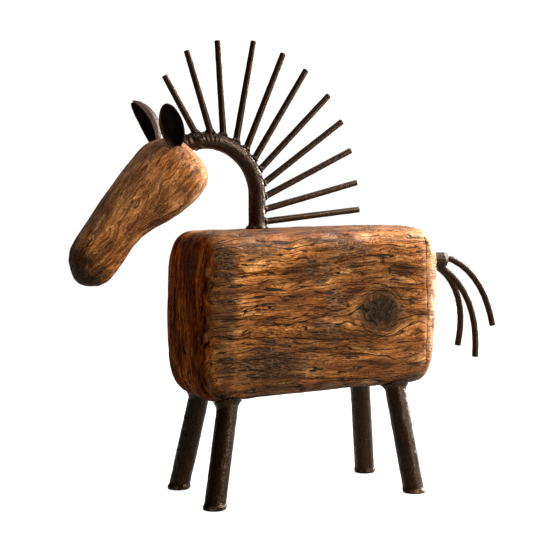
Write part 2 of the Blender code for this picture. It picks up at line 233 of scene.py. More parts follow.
def cloud(tree, vector, detail, roughness=0.55, distortion=0.0):
    """Noise at the vector's own scale."""
    inputs = {
        "Vector": vector,
        "Scale": 1.0,
        "Detail": detail,
        "Roughness": roughness,
        "Distortion": distortion,
    }
    return add(tree, "ShaderNodeTexNoise", {}, inputs).outputs["Fac"]


def cells(tree, vector):
    """Distance to the nearest edge between cells, at the vector's own scale."""
    inputs = {"Vector": vector, "Scale": 1.0, "Randomness": 1.0}
    made = add(tree, "ShaderNodeTexVoronoi", {"feature": "DISTANCE_TO_EDGE"}, inputs)
    return made.outputs["Distance"]


def between(tree, value, low, high, out_low=0.0, out_high=1.0):
    """Map a range smoothly onto another and hold it at the ends."""
    inputs = {"Value": value, "From Min": low, "From Max": high, "To Min": out_low, "To Max": out_high}
    made = add(tree, "ShaderNodeMapRange", {"interpolation_type": "SMOOTHSTEP"}, inputs)
    return made.outputs["Result"]


def blend(tree, share, first, second, kind="MIX"):
    """Mix two colours."""
    settings = {"data_type": "RGBA", "blend_type": kind}
    return add(tree, "ShaderNodeMix", settings, {0: share, 6: first, 7: second}).outputs[2]


def linear(value):
    """One channel as the eye sees it, 0 to 255, made linear."""
    if value <= 10:
        return value / 255 / 12.92
    return ((value / 255 + 0.055) / 1.055) ** 2.4


def tone(red, green, blue):
    """A colour given as the eye sees it, 0 to 255, made linear."""
    return (linear(red), linear(green), linear(blue), 1.0)


def blend_tone(first, second, share):
    """A colour between two."""
    return tuple(a + (b - a) * share for a, b in zip(first, second))


def tones(tree, value, stops):
    """A row of colours along a value."""
    made = add(tree, "ShaderNodeValToRGB", {}, {"Fac": value})
    band = made.color_ramp
    while len(band.elements) < len(stops):
        band.elements.new(0.5)
    for spot, (place, colour) in zip(band.elements, stops):
        spot.position = place
        spot.color = colour
    return made.outputs["Color"]


def stored(tree, name, output="Fac"):
    """A value kept on the mesh."""
    return add(tree, "ShaderNodeAttribute", {"attribute_name": name}, {}).outputs[output]


def start_material(name, roughness, specular):
    """A new material and its tree, with the even values on the shader's own sockets."""
    material = bpy.data.materials.new(name)
    material.use_nodes = True
    tree = material.node_tree
    shader = tree.nodes["Principled BSDF"]
    shader.inputs["Roughness"].default_value = roughness
    shader.inputs["Specular IOR Level"].default_value = specular
    return material, tree, shader


def raise_surface(tree, shader, height, depth):
    """Fine relief from a height in millimetres."""
    made = add(tree, "ShaderNodeBump", {}, {"Height": height, "Strength": 1.0, "Distance": depth * MM})
    tree.links.new(made.outputs["Normal"], shader.inputs["Normal"])


# Timber. A scale is how many features come to a millimetre, along the grain and then across it.
LINE_BEND = (0.035, 0.16)
LINE_BREAK = (0.10, 0.30)
LINE_TILT = 0.35
STREAK = (0.050, 0.34)
BROAD = (0.030, 0.085)
CHECK = (0.17, 1.5)
CROSS = (0.26, 0.42)
CROSS_PATCH = (0.07, 0.13)
BLOTCH = (0.035, 0.075)
SMOKE_BREAK = (0.10, 0.5)
CRACKLE = (0.17, 0.85)
SPLIT_WANDER = (0.3, 0.18, 0.3)
SPLIT_BREAK = (0.16, 0.16)
SHINE = (0.2, 0.9)

# Fine lines and hair lines: how many come to a millimetre, how far they wander in lines, and the gate
# that breaks them up.
LINES = (0.21, 3.2, 0.42, 0.47)
HAIR_LINES = (0.47, 5.0, 0.44, 0.50)

# How dark the checks, the cross checks and the hair lines are beside the fine lines.
CHECK_DARK = 0.60
CROSS_DARK = 0.65
HAIR_DARK = 0.80

# How high the fibres and the knot's rays stand, and how deep the dark lines and the open cracks lie, in
# parts of the relief, which is in millimetres.
FIBRE_HEIGHT = 0.8
LINE_SINK = 1.3
SPLIT_SINK = 1.5
TIMBER_RELIEF = 0.55

TIMBER_TINT = (1.0, 0.72, 0.46, 1.0)
TIMBER_SPECULAR = 0.24
CHEST_SPECULAR = 0.04
CHEST_ROUGHNESS = 0.3
TIMBER_TONES = (
    (0.36, tone(62, 31, 10)),
    (0.45, tone(118, 68, 28)),
    (0.54, tone(164, 104, 50)),
    (0.63, tone(210, 152, 92)),
)
KNOT_TONES = (
    (0.40, tone(7, 4, 2)),
    (0.52, tone(15, 10, 6)),
    (0.62, tone(58, 46, 33)),
)
LINE_TONE = tone(26, 12, 5)
# Painted shade colour for the chest face.
CHEST_PAINTED_SHADE_TONE = tone(252, 208, 150)
BLOTCH_TONE = tone(150, 88, 44)
SMOKE_TONE = tone(92, 74, 58)
CRACKLE_TONE = tone(178, 138, 102)
# Pale edges: wear and painted highlight.
WEAR_AND_HIGHLIGHT_TONE = tone(212, 166, 128)
SPLIT_SHADE_TONE = tone(16, 8, 4)

# The streaks' share of the colour, the fibres' scales along and across, and how dark the lines are.
BODY_PATTERN = {"streaks": 0.55, "fibre_along": 0.45, "fibre_across": 1.5, "line_depth": 1.0}
HEAD_PATTERN = {"streaks": 0.46, "fibre_along": 0.75, "fibre_across": 1.15, "line_depth": 0.75}


def fine_lines(tree, grain, across, wander, gate_low, gate_high):
    """Thin dark lines along the grain, a fixed number to a millimetre, broken into short lengths."""
    apart = add(tree, "ShaderNodeSeparateXYZ", {}, {0: grain})
    bend = cloud(tree, stretch(tree, grain, *LINE_BEND), 2.0)
    place = plus(tree, times(tree, apart.outputs[1], across), times(tree, bend, wander))
    place = plus(tree, place, times(tree, apart.outputs[2], across * LINE_TILT))
    wave = maths(tree, "SINE", times(tree, place, FULL_TURN))
    gate = cloud(tree, stretch(tree, grain, *LINE_BREAK), 3.0, 0.6)
    return times(tree, between(tree, wave, 0.82, 0.97), between(tree, gate, gate_low, gate_high))


def timber_pattern(tree, grain, streaks, fibre_along, fibre_across, line_depth):
    """Colour and height of weathered timber whose grain runs along the vector's X, in millimetres."""
    streak = cloud(tree, stretch(tree, grain, *STREAK), 6.0, 0.66, 0.25)
    broad = cloud(tree, stretch(tree, grain, *BROAD), 2.0)
    fibre = cloud(tree, stretch(tree, grain, fibre_along, fibre_across), 4.0, 0.70, 0.2)
    mixed = plus(tree, times(tree, streak, streaks), times(tree, broad, 1 - streaks))
    lift = between(tree, fibre, 0.34, 0.66, 0.52, 1.36)
    grey = add(tree, "ShaderNodeCombineColor", {}, {0: lift, 1: lift, 2: lift}).outputs[0]
    colour = blend(tree, 1.0, tones(tree, mixed, TIMBER_TONES), grey, "MULTIPLY")
    check = between(tree, cloud(tree, stretch(tree, grain, *CHECK), 3.0, 0.62), 0.600, 0.650)
    patch = between(tree, cloud(tree, stretch(tree, grain, *CROSS_PATCH), 3.0), 0.47, 0.60)
    cross = between(tree, cells(tree, stretch(tree, grain, *CROSS)), 0.0, 0.070, 1.0, 0.0)
    cross = times(tree, cross, patch)
    hair = fine_lines(tree, grain, *HAIR_LINES)
    dark = fine_lines(tree, grain, *LINES)
    for mark, share in ((check, CHECK_DARK), (cross, CROSS_DARK), (hair, HAIR_DARK)):
        dark = maths(tree, "MAXIMUM", dark, times(tree, mark, share))
    dark = times(tree, dark, line_depth)
    height = plus(tree, times(tree, fibre, FIBRE_HEIGHT), times(tree, streak, FIBRE_HEIGHT))
    height = maths(tree, "SUBTRACT", height, times(tree, dark, LINE_SINK))
    return blend(tree, dark, colour, LINE_TONE), height


def smallest(tree, names):
    """The least distance from a row of stored vectors, each holding three signed distances."""
    least = None
    for name in names:
        apart = add(tree, "ShaderNodeSeparateXYZ", {}, {0: stored(tree, name, "Vector")})
        for output in apart.outputs:
            size = maths(tree, "ABSOLUTE", output)
            least = size if least is None else maths(tree, "MINIMUM", least, size)
    return least


def smoke_wear_and_painted_light(tree, grain, colour):
    """Smoke-dark patches with pale crackle, pale edges of wear and painted highlight, and the stored
    painted light and shade as lighter and darker areas.
    """
    blotch = between(tree, cloud(tree, stretch(tree, grain, *BLOTCH), 3.0), 0.48, 0.66, 0.0, 0.45)
    colour = blend(tree, blotch, colour, BLOTCH_TONE, "MULTIPLY")
    gate = between(tree, cloud(tree, stretch(tree, grain, *SMOKE_BREAK), 4.0, 0.6), 0.30, 0.50)
    smoke = times(tree, stored(tree, "smoke"), gate, True)
    colour = blend(tree, smoke, colour, blend(tree, 0.85, colour, SMOKE_TONE, "MULTIPLY"))
    crackle = between(tree, cells(tree, stretch(tree, grain, *CRACKLE)), 0.0, 0.10, 0.50, 0.0)
    colour = blend(tree, times(tree, crackle, smoke), colour, CRACKLE_TONE)
    colour = blend(tree, times(tree, stored(tree, "worn"), 0.58), colour, WEAR_AND_HIGHLIGHT_TONE)
    # The stored painted light and shade scales the colour.
    gain = plus(tree, stored(tree, "shade"), 1.0)
    return add(tree, "ShaderNodeVectorMath", {"operation": "SCALE"}, {0: colour, "Scale": gain}).outputs[0]


def open_cracks(tree, grain, split_layers):
    """How far each place is inside an open crack, from the stored distances."""
    wander = times(tree, cloud(tree, stretch(tree, grain, *SPLIT_WANDER), 2.0), 0.50)
    width = plus(tree, wander, 0.10)
    apart = smallest(tree, split_layers)
    crack = between(tree, maths(tree, "DIVIDE", apart, width), 0.35, 1.15, 1.0, 0.0)
    broken = between(tree, cloud(tree, stretch(tree, grain, *SPLIT_BREAK), 3.0), 0.40, 0.50, 0.30, 1.0)
    return times(tree, crack, broken)


def timber_material(name, split_layers, end_grain, pattern):
    """Weathered timber. Split layers hold distances to the open cracks."""
    material, tree, shader = start_material(name, 0.55, TIMBER_SPECULAR)
    shader.inputs["Specular Tint"].default_value = TIMBER_TINT
    grain = stored(tree, "grain", "Vector")
    colour, height = timber_pattern(tree, grain, **pattern)
    shine = between(tree, cloud(tree, stretch(tree, grain, *SHINE), 3.0), 0.35, 0.65, 0.36, 0.66)
    if end_grain:
        other_colour, other_height = timber_pattern(tree, stored(tree, "end_grain", "Vector"), **pattern)
        share = stored(tree, "end_share")
        chest = stored(tree, "chest")
        colour = blend(tree, share, colour, other_colour)
        # Painted shade colour: the chest face tinted redder, as it looks in shade.
        colour = blend(tree, chest, colour, CHEST_PAINTED_SHADE_TONE, "MULTIPLY")
        specular = between(tree, chest, 0.0, 1.0, TIMBER_SPECULAR, CHEST_SPECULAR)
        tree.links.new(specular, shader.inputs["Specular IOR Level"])
        height = times(tree, height, maths(tree, "SUBTRACT", 1.0, share))
        height = plus(tree, height, times(tree, other_height, share))
        shine = plus(tree, shine, times(tree, chest, CHEST_ROUGHNESS), True)
    colour = smoke_wear_and_painted_light(tree, grain, colour)
    knot = stored(tree, "knot")
    rays = cloud(tree, stored(tree, "knot_place", "Vector"), 4.0, 0.65)
    colour = blend(tree, between(tree, knot, 0.15, 0.70), colour, tones(tree, rays, KNOT_TONES))
    height = plus(tree, height, times(tree, times(tree, rays, knot), FIBRE_HEIGHT))
    if split_layers:
        crack = open_cracks(tree, grain, split_layers)
        # Painted shade: the open cracks, which are also sunk, painted near-black inside.
        colour = blend(tree, times(tree, crack, 0.95), colour, SPLIT_SHADE_TONE)
        height = maths(tree, "SUBTRACT", height, times(tree, crack, SPLIT_SINK))
    # Dirt and painted shade darken the colour.
    colour = blend(tree, times(tree, stored(tree, "dirt"), 0.92), colour, LINE_TONE)
    tree.links.new(colour, shader.inputs["Base Color"])
    tree.links.new(shine, shader.inputs["Roughness"])
    raise_surface(tree, shader, height, TIMBER_RELIEF)
    return material


# Iron. Scales are features for each millimetre of the bar, along it and across it.
IRON_TINT = (1.0, 0.74, 0.52, 1.0)
# Paler colour for wear and for painted highlight.
RUBBED_AND_HIGHLIGHT_TONE = tone(150, 118, 94)
SCALE_GRAIN = (0.35, 0.9)
FINE_GRAIN = (0.8, 1.3)
SCALE_SHARE = 0.65
SCALE_HEIGHT = 0.6
DULLER = 0.14
SHINIER = 0.12


def iron_material(name, deep, high, roughness, pits, specular):
    """Dark forged iron: scale, brown wax in the hollows and rubbing on high spots, streaked along the bar,
    with stored paler places that are wear or painted highlight.
    """
    material, tree, shader = start_material(name, roughness, specular)
    shader.inputs["Specular Tint"].default_value = IRON_TINT
    grain = stored(tree, "grain", "Vector")
    scale = cloud(tree, stretch(tree, grain, *SCALE_GRAIN), 5.0, 0.65)
    fine = cloud(tree, stretch(tree, grain, *FINE_GRAIN), 3.0, 0.6)
    mixed = plus(tree, times(tree, scale, SCALE_SHARE), times(tree, fine, 1 - SCALE_SHARE))
    colour = tones(tree, mixed, (
        (0.38, deep),
        (0.52, blend_tone(deep, high, 0.45)),
        (0.64, high),
    ))
    colour = blend(tree, stored(tree, "rubbed"), colour, RUBBED_AND_HIGHLIGHT_TONE)
    tree.links.new(colour, shader.inputs["Base Color"])
    shine = between(tree, mixed, 0.36, 0.64, roughness + DULLER, roughness - SHINIER)
    tree.links.new(shine, shader.inputs["Roughness"])
    height = plus(tree, times(tree, scale, SCALE_HEIGHT), times(tree, fine, 1 - SCALE_HEIGHT))
    raise_surface(tree, shader, height, pits)
    return material


# Body. Each knot: its centre and half sizes along X and Z, the side it is on, and its seed.
NEAR_KNOT = (np.array([36.3, 106.7]), np.array([10.6, 9.2]), -1)
FAR_KNOT = (np.array([-22.0, 92.0]), np.array([7.0, 6.0]), 1)
KNOTS = ((NEAR_KNOT, 31), (FAR_KNOT, 37))
KNOT_PULL = 0.92
SIDE_BAND = (12.0, 26.0)

# Open cracks: the face they lie on, and the points they run through as distance along the face and
# height across it, in millimetres.
CRACKS = (
    ("near", ((-59.0, 105.0), (-48.0, 104.6), (-36.0, 104.0), (-26.0, 104.6))),
    ("near", ((-60.0, 94.2), (-36.0, 93.9), (-12.0, 92.7), (2.0, 91.6), (16.0, 90.4))),
    ("near", ((-10.0, 69.4), (12.0, 68.6), (37.0, 65.9), (64.0, 64.6))),
    ("near", ((9.0, 133.4), (16.0, 135.9), (26.0, 137.1), (41.0, 137.9))),
    ("near", ((-50.0, 129.8), (-37.0, 129.0), (-28.0, 129.4))),
    ("near", ((-36.0, 100.2), (-18.0, 100.9), (0.0, 104.0), (9.0, 107.5))),
    ("near", ((-58.0, 80.2), (-36.0, 82.0), (-12.0, 85.2), (6.0, 84.0))),
    ("near", ((49.0, 100.5), (58.0, 103.0), (66.0, 103.4), (72.0, 102.0))),
    ("near", ((22.0, 117.0), (27.0, 119.6), (34.0, 121.6), (40.5, 120.8), (48.0, 116.0), (53.0, 109.5))),
    ("near", ((32.0, 118.0), (42.0, 117.2), (49.0, 111.8), (53.0, 105.5))),
    ("near", ((27.0, 96.0), (37.5, 91.4), (50.0, 94.8), (62.0, 99.0))),
    ("near", ((-57.0, 149.4), (-50.0, 149.9), (-43.0, 149.6), (-36.0, 148.0))),
    ("near", ((-30.0, 132.4), (-20.0, 131.6), (-9.0, 132.2), (2.0, 133.0))),
    ("rump side", ((146.0, 67.6), (130.0, 66.9), (112.0, 68.7), (96.0, 68.0), (78.0, 67.6))),
    ("chest", ((128.0, -20.8), (110.0, -21.8), (92.0, -22.6), (72.0, -22.0), (64.0, -27.0))),
    ("chest", ((132.0, 13.4), (112.0, 11.8), (90.0, 10.6), (72.0, 8.8), (64.0, 1.0))),
    ("chest", ((140.0, -8.6), (122.0, -6.4), (104.0, -7.4), (92.0, -6.0))),
    ("far", ((-56.0, 121.0), (-30.0, 123.5), (0.0, 122.0), (24.0, 118.5))),
    ("far", ((-20.0, 76.0), (8.0, 78.5), (34.0, 77.0), (62.0, 79.5))),
    ("top", ((-2.0, 12.0), (22.0, 9.5), (46.0, 11.0), (66.0, 8.0))),
)

# Each face: the axis that a crack runs along, the axis across it, and which way the face looks.
FACES = {
    "near": (0, 2, np.array([0.0, -1.0, 0.0])),
    "rump side": (2, 0, np.array([0.35, -0.94, 0.0])),
    "far": (0, 2, np.array([0.0, 1.0, 0.0])),
    "chest": (2, 1, np.array([-1.0, 0.0, 0.0])),
    "top": (0, 1, np.array([0.0, 0.0, 1.0])),
}
FAR_FROM_CRACK = 99.0

# Relief of the body in millimetres. Ridges, furrows and short checks run along the grain.
CRACK_DEPTH = 0.75
CRACK_WIDTH = 0.95
SWELL = 0.42
LUMPS = 0.16
RIDGES = 0.13
FURROWS = 0.24
SHORT_CHECKS = 0.15
ROUGHNESS = 0.05
EDGE_CHIPS = 0.55
KNOT_SINK = 0.25
KNOT_SPLITS = 0.30
KNOT_RINGS = 0.16

# Small pits with square ends on the near side, and a chip by the chest, not carved but shown by painted
# shade: centre and half sizes.
PITS = (
    (38.5, 135.4, 0.9, 2.6),
    (43.0, 129.0, 0.8, 1.9),
    (67.0, 144.4, 1.6, 1.1),
    (-9.0, 141.0, 1.4, 0.8),
)
CHIP = (-69.0, 146.5, 5.0, 5.0)

# Painted light and shade, lighter and darker areas of the near side: centre, half sizes and how much
# lighter.
PAINTED_LIGHT_AREAS = (
    (10.0, 150.0, 75.0, 14.0, 0.72),
    (-35.0, 128.0, 18.0, 16.0, 0.62),
    (68.0, 115.0, 15.0, 55.0, 0.66),
    (-36.0, 104.0, 14.0, 12.0, 0.22),
    (-38.0, 84.0, 26.0, 11.0, -0.12),
    (4.0, 84.0, 30.0, 18.0, -0.26),
    (16.0, 112.0, 12.0, 16.0, 0.16),
    (-58.0, 105.0, 9.0, 60.0, -0.62),
    (45.0, 76.0, 26.0, 12.0, 0.22),
    (-20.0, 66.0, 45.0, 8.0, -0.20),
    (-30.0, 76.0, 34.0, 12.0, -0.24),
)
PAINTED_LIGHT_LIMITS = (-0.6, 1.2)

# Smoke-dark patches on the near side: centre, half sizes and how dark.
PATCHES = (
    (18.8, 141.6, 15.0, 6.0, 0.9),
    (-38.0, 142.5, 15.0, 6.0, 0.8),
    (-1.4, 130.0, 9.0, 9.0, 0.9),
    (8.0, 114.0, 8.0, 12.0, 0.8),
    (3.5, 98.0, 11.0, 9.0, 0.9),
    (-32.0, 77.0, 28.0, 12.0, 1.0),
    (-56.0, 134.0, 7.0, 11.0, 0.9),
    (-53.0, 108.0, 6.0, 14.0, 0.5),
    (-20.0, 88.0, 20.0, 5.0, 0.5),
    (60.0, 76.0, 12.0, 9.0, 0.4),
)


def crack_distances(points, normals):
    """Signed distance from every point to each crack, growing fast beyond its ends and off its face."""
    found = []
    for face, path in CRACKS:
        along, across, out = FACES[face]
        stops = np.array(sorted(path))
        route = np.interp(points[:, along], stops[:, 0], stops[:, 1])
        wander = 0.5 * noise(columns(points[:, along] / 5.0, 3.3, 0.0), 1.0, 91 + len(found))
        apart = points[:, across] - route - wander
        past = np.maximum(stops[0, 0] - points[:, along], points[:, along] - stops[-1, 0])
        away = np.maximum(past, 0.0) * 0.35 + np.maximum(0.72 - normals @ out, 0.0) * 22.0
        found.append(apart + np.where(apart < 0, -1.0, 1.0) * away)
    while len(found) % 3:
        found.append(np.full(len(points), FAR_FROM_CRACK))
    return np.stack(found, 1)


def around(points, knot):
    """Place about a knot's middle as a share of its radius, the distance, and the share on its side."""
    centre, size, side = knot
    offset = (points[:, [0, 2]] - centre) / size
    return offset, np.hypot(offset[:, 0], offset[:, 1]), step(points[:, 1] * side, *SIDE_BAND)


def from_centre(points, x, z, wide, tall):
    """Distance from the middle of an ellipse on the block's side, as a share of its radius."""
    return np.hypot((points[:, 0] - x) / wide, (points[:, 2] - z) / tall)


def knot_figure(points, across):
    """The grain bent round the knots, the share inside one, the rays of its heart and its relief."""
    knot = np.zeros(len(points))
    place = np.zeros((len(points), 3))
    relief = np.zeros(len(points))
    for shape, seed in KNOTS:
        offset, far, on_side = around(points, shape)
        turned = np.arctan2(offset[:, 1], offset[:, 0])
        bent = np.where(far > 1, 1 / np.maximum(far, 1e-6) ** 2, 1.0)
        across = across - on_side * (points[:, 2] - shape[0][1]) * bent * KNOT_PULL
        edge = columns(np.cos(turned) * 4.0, np.sin(turned) * 4.0, seed)
        inside = step(far + 0.12 * noise(edge, 1.0, seed), 1.02, 0.52) * on_side
        knot = np.maximum(knot, inside)
        rays = columns(np.cos(turned) * 5.5, np.sin(turned) * 5.5, far * 1.8 + seed)
        place += rays * (inside > 0)[:, None]
        split = step(rough(rays, 1.0, seed + 3), 0.15, 0.75)
        relief -= inside * (KNOT_SINK + KNOT_SPLITS * split)
        rings = np.sin(far * 13.0 + 2.0 * noise(points, 9.0, 8)) * (far > 1.1)
        relief += KNOT_RINGS * on_side * step(far, 2.6, 1.2) * rings
    return across, knot, place, relief


def body_smoke(points):
    """Smoke-dark places: the patches, some on the far side, and a halo round the knot."""
    y = points[:, 1]
    smoke = np.zeros(len(points))
    for x, z, wide, tall, depth in PATCHES:
        near = from_centre(points, x, z, wide, tall) + 0.35 * noise(points, 6.0, 51)
        smoke = np.maximum(smoke, depth * step(near, 1.25, 0.45) * step(-y, 18.0, 30.0))
    elsewhere = step(noise(points, (22, 16, 12), 53), 0.30, 0.75) * step(y, -26.0, -14.0)
    smoke = np.maximum(smoke, 0.8 * elsewhere)
    far, on_side = around(points, NEAR_KNOT)[1:]
    return np.maximum(smoke, 0.8 * hump(far - 1.20, 0.36) * on_side)


def body_painted_light(points, normals, chest, on_near):
    """Painted light and shade with some random tone: how much lighter or darker each place is than the
    timber's own colour.
    """
    shade = 0.30 * noise(points, (26, 20, 13), 57)
    for x, z, wide, tall, gain in PAINTED_LIGHT_AREAS:
        near = from_centre(points, x, z, wide, tall) + 0.2 * noise(points, 8.0, 58)
        shade += gain * on_near * step(near, 1.2, 0.3)
    # Painted light on the near side and the chest, painted shade on faces turned down.
    shade += 0.06 * on_near + 0.35 * chest - 0.35 * step(-normals[:, 2], 0.3, 0.8)
    return np.clip(shade, *PAINTED_LIGHT_LIMITS)


def body_dirt(points, on_near):
    """Dirt in the ring round the knot, and painted shade in the pits and in the chip."""
    far, on_side = around(points, NEAR_KNOT)[1:]
    dirt = 0.84 * hump(far - 0.88, 0.34) * on_side
    # Painted shade in the pits and the chip, which are not carved.
    for x, z, wide, tall in PITS:
        near = np.maximum(np.abs(points[:, 0] - x) / wide, np.abs(points[:, 2] - z) / tall)
        dirt = np.maximum(dirt, step(near, 1.35, 0.75) * on_near)
    chip = from_centre(points, *CHIP) + 0.4 * noise(points, 3.0, 59)
    return np.clip(np.maximum(dirt, 0.8 * step(chip, 1.1, 0.5)), 0, 1)


def make_body():
    """The timber block with its grain, knots, cracks and chipped edges, pale edges of wear and painted
    highlight, and painted light and shade.
    """
    piece = even_copy("body_carved", "body", "body")
    points, normals = surface(piece)
    x, y, z = points.T
    warp = 1.5 * noise(points, (30, 22, 17), 11) + 0.6 * noise(points, (10, 9, 6), 12)
    across, knot, knot_place, relief = knot_figure(points, z + warp)
    grain = columns(x, across, y + 0.6 * warp)
    end_grain = columns(z, y + 1.3 * noise(points, (12, 9, 24), 14), x * 0.6)
    chest = step(-normals[:, 0] + 0.24 * noise(points, (5, 5, 7), 15), 0.30, 0.76)
    rump = step(normals[:, 0] + 0.12 * noise(points, (7, 7, 9), 16), 0.42, 0.74)
    end_share = np.maximum(chest, rump)
    face_grain = np.where(end_share[:, None] > 0.5, end_grain, grain)
    ridges = rough(face_grain, (13, 1.9, 1.9), 21)
    furrow = step(noise(face_grain, (19, 2.6, 2.6), 23), 0.25, 0.8)
    checks = step(noise(face_grain, (5.5, 1.9, 1.9), 25), 0.42, 0.85)
    relief += SWELL * noise(points, (24, 24, 19), 1) + LUMPS * noise(points, 9.0, 2)
    relief += (RIDGES * ridges - FURROWS * furrow - SHORT_CHECKS * checks) * (1 - knot)
    relief += ROUGHNESS * rough(points, 2.2, 5)
    splits = crack_distances(points, normals)
    relief -= CRACK_DEPTH * hump(np.abs(splits).min(1), CRACK_WIDTH)
    edge = 1 - np.abs(normals).max(1)
    relief -= EDGE_CHIPS * step(edge, 0.12, 0.28) * step(noise(points, 7.0, 41), 0.30, 0.85)
    carve(piece, points, normals, relief)
    # Pale edges: wear along the edges, and painted highlight growing towards the rump and on its end.
    worn = step(edge, 0.10, 0.30) * step(noise(points, 5.0, 55), -0.1, 0.6)
    worn = worn * (0.35 + 0.65 * step(x, -20.0, 60.0))
    worn = np.maximum(worn, 0.75 * step(x, 60.0, 72.0) * step(noise(points, 4.0, 56), -0.6, 0.2))
    on_near = step(-normals[:, 1], 0.25, 0.7)
    store(
        piece,
        grain=grain,
        end_grain=end_grain,
        end_share=end_share,
        chest=chest,
        knot=knot,
        knot_place=knot_place,
        smoke=np.clip(body_smoke(points), 0, 1),
        worn=worn * (1 - knot),
        shade=body_painted_light(points, normals, chest, on_near),
        dirt=body_dirt(points, on_near),
    )
    layers = {}
    for first in range(0, splits.shape[1], 3):
        layers["splits_%d" % (first // 3)] = splits[:, first:first + 3]
    store(piece, **layers)
    material = timber_material("body_weathered_timber", list(layers), True, BODY_PATTERN)
    dress(piece, material, "body")


# Head: its poll, which way it points and which way its brow faces. The jaw's groove and the temple's
# ridge run through points given as distance along the head and height towards the brow.
HEAD_LENGTH = 95.5
POLL = np.array([-61.5, 0.0, 192.5])
HEAD_DIP = math.radians(45)
HEAD_ALONG = np.array([-math.cos(HEAD_DIP), 0.0, -math.sin(HEAD_DIP)])
HEAD_BROW = np.array([-math.sin(HEAD_DIP), 0.0, math.cos(HEAD_DIP)])
JAW = ((8.0, -9.6), (17.0, -11.4), (27.0, -10.2), (38.0, -7.6), (48.0, -3.6), (54.0, -2.6))
TEMPLE = ((10.0, 22.0), (28.0, 18.0), (51.0, 12.6), (82.0, 7.6))
PATH_FADE = 2.0

# Relief of the head in millimetres.
GROOVE_DEPTH = 0.9
GROOVE_LIP = 0.45
TEMPLE_RISE = 0.45
HEAD_SWELL = 0.32
HEAD_LUMPS = 0.12
HEAD_RIDGES = 0.09
HEAD_FURROWS = 0.22
HEAD_CHECKS = 0.18
HEAD_EDGES = 0.55


def path_offset(along, across, path):
    """How far points lie across from a line that is given by its points, and whether they are beside it."""
    stops = np.array(path)
    first, last = stops[0, 0], stops[-1, 0]
    beside = step(along, first - PATH_FADE, first + PATH_FADE)
    beside = beside * step(along, last + PATH_FADE, last - PATH_FADE)
    return across - np.interp(along, stops[:, 0], stops[:, 1]), beside


def make_head():
    """The carved head: long soft planes, fine checks along it and a darker muzzle."""
    piece = even_copy("head_carved", "head", "head")
    points, normals = surface(piece)
    y = points[:, 1]
    along = (points - POLL) @ HEAD_ALONG
    brow = (points - POLL) @ HEAD_BROW
    share = along / HEAD_LENGTH
    warp = 1.6 * noise(points, (16, 12, 16), 61) + 0.5 * noise(points, 5.0, 60)
    across = brow + warp + 0.12 * along * np.sign(brow)
    grain = columns(along * 1.5, across * 1.2, y * 1.2 + 0.7 * warp)
    wander = 0.8 * noise(points, 6.0, 75)
    jaw, by_jaw = path_offset(along, brow + wander, JAW)
    temple, by_temple = path_offset(along, brow + wander, TEMPLE)
    on_side = step(np.abs(y), 4.0, 8.0)
    groove = hump(jaw, 0.85) * by_jaw * on_side
    relief = -GROOVE_DEPTH * groove + GROOVE_LIP * hump(jaw - 2.0, 1.4) * by_jaw * on_side
    relief += TEMPLE_RISE * hump(temple, 2.6) * by_temple * on_side
    relief += HEAD_SWELL * noise(points, 17.0, 62) + HEAD_LUMPS * noise(points, 6.0, 63)
    relief += HEAD_RIDGES * rough(grain, (10, 1.4, 1.4), 64)
    relief -= HEAD_FURROWS * step(noise(grain, (12, 1.9, 1.9), 65), 0.35, 0.85)
    relief -= HEAD_CHECKS * step(noise(grain, (4.5, 1.5, 1.5), 66), 0.45, 0.85)
    ridge = np.abs(normals[:, 1]) * np.maximum(normals @ HEAD_BROW, 0.0)
    relief += HEAD_EDGES * step(ridge, 0.28, 0.5) * step(share, 0.08, 0.2) * step(share, 0.95, 0.8)
    carve(piece, points, normals, relief)
    muzzle = step(share + 0.05 * noise(points, 6.0, 67), 0.84, 0.98)
    smoke = np.maximum(0.95 * muzzle, 0.22 * step(noise(grain, (24, 9, 9), 68), 0.0, 0.6))
    flank = step(np.abs(normals[:, 1]), 0.5, 0.85) * step(share, 0.12, 0.3) * step(share, 0.8, 0.55)
    smoke = np.maximum(smoke, 0.40 * flank)
    throat = np.maximum(-(normals @ HEAD_BROW), 0.0) * step(share, 0.45, 0.2)
    rear = np.maximum(-(normals @ HEAD_ALONG), 0.0) + throat
    # Painted highlight on the rear edge, the throat and along the brow's edge.
    worn = 0.7 * step(rear, 0.45, 0.9)
    worn = worn + 0.15 * step(ridge, 0.30, 0.5) * step(noise(points, 5.0, 69), -0.2, 0.5)
    # Painted shade in the jaw's groove and below the jaw.
    dirt = groove * (0.35 + 0.65 * step(noise(points, 4.0, 70), -0.4, 0.1))
    dirt = np.maximum(dirt, 0.45 * step(jaw, 0.0, -3.0) * by_jaw * on_side)
    # Painted light and shade: lighter on the temple's ridge, the rear edge and the brow's edge, darker on
    # faces turned to the front and on the muzzle, over random tone.
    shade = 0.36 + 0.28 * noise(points, (18, 18, 12), 71)
    shade += 0.30 * step(temple, -1.0, 3.0) * by_temple + 0.55 * step(rear, 0.45, 0.9)
    shade += 0.30 * step(ridge, 0.10, 0.35) * (1 - muzzle)
    shade -= 0.45 * step(-normals[:, 0] + 0.35 * normals[:, 1], 0.70, 0.98) + 0.35 * muzzle
    store(
        piece,
        grain=grain,
        knot=np.zeros(len(points)),
        knot_place=np.zeros((len(points), 3)),
        smoke=np.clip(smoke, 0, 1),
        worn=np.clip(worn, 0, 1) * (1 - muzzle),
        dirt=np.clip(dirt + 0.74 * muzzle, 0, 1),
        shade=np.clip(shade, *PAINTED_LIGHT_LIMITS),
    )
    material = timber_material("head_weathered_timber", (), False, HEAD_PATTERN)
    dress(piece, material, "head")


